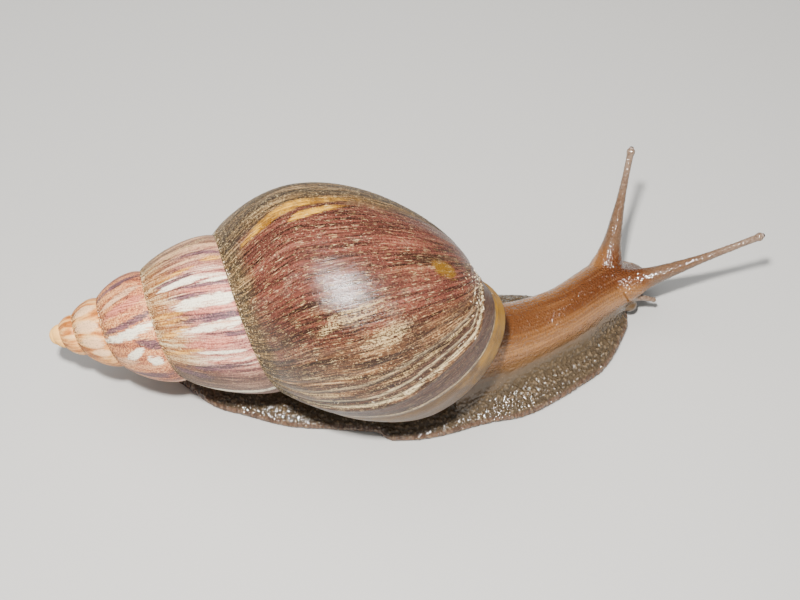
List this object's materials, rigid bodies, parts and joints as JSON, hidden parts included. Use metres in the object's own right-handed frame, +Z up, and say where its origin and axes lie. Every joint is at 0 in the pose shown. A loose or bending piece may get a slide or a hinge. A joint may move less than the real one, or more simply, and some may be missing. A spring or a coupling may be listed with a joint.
{
  "type": "giant African land snail",
  "caption": "Life-size still model of a giant African land snail, crawling with its conical brown shell on its back and its head turned to its left with the tentacles out.",
  "frame": {"origin": "on the flat sole, beneath the front half of the shell", "axes": "+X from the tip of the spire towards the head, -Y to the animal's right side, +Z up from the sole"},
  "size_m": [0.1624, 0.0673, 0.0555],
  "materials": {
    "shell": "worn satin, streaked along the growth lines",
    "mantle": "wet",
    "foot_skin": "wet, finely warted",
    "neck_skin": "wet, finely lined",
    "tentacle_skin": "wet",
    "eye": "gloss"
  },
  "bodies": {
    "root": {"shell": "shell", "mantle_collar": "mantle", "trunk": "foot_skin", "neck": "neck_skin", "head": "neck_skin", "foot_tail": "foot_skin", "foot_middle": "foot_skin", "foot_front": "foot_skin", "upper_tentacle_right_base": "tentacle_skin", "upper_tentacle_right_middle": "tentacle_skin", "upper_tentacle_right_tip": "tentacle_skin", "eye_right": "eye", "lower_tentacle_right": "tentacle_skin", "upper_tentacle_left_base": "tentacle_skin", "upper_tentacle_left_middle": "tentacle_skin", "upper_tentacle_left_tip": "tentacle_skin", "eye_left": "eye", "lower_tentacle_left": "tentacle_skin"}
  },
  "joints": []
}
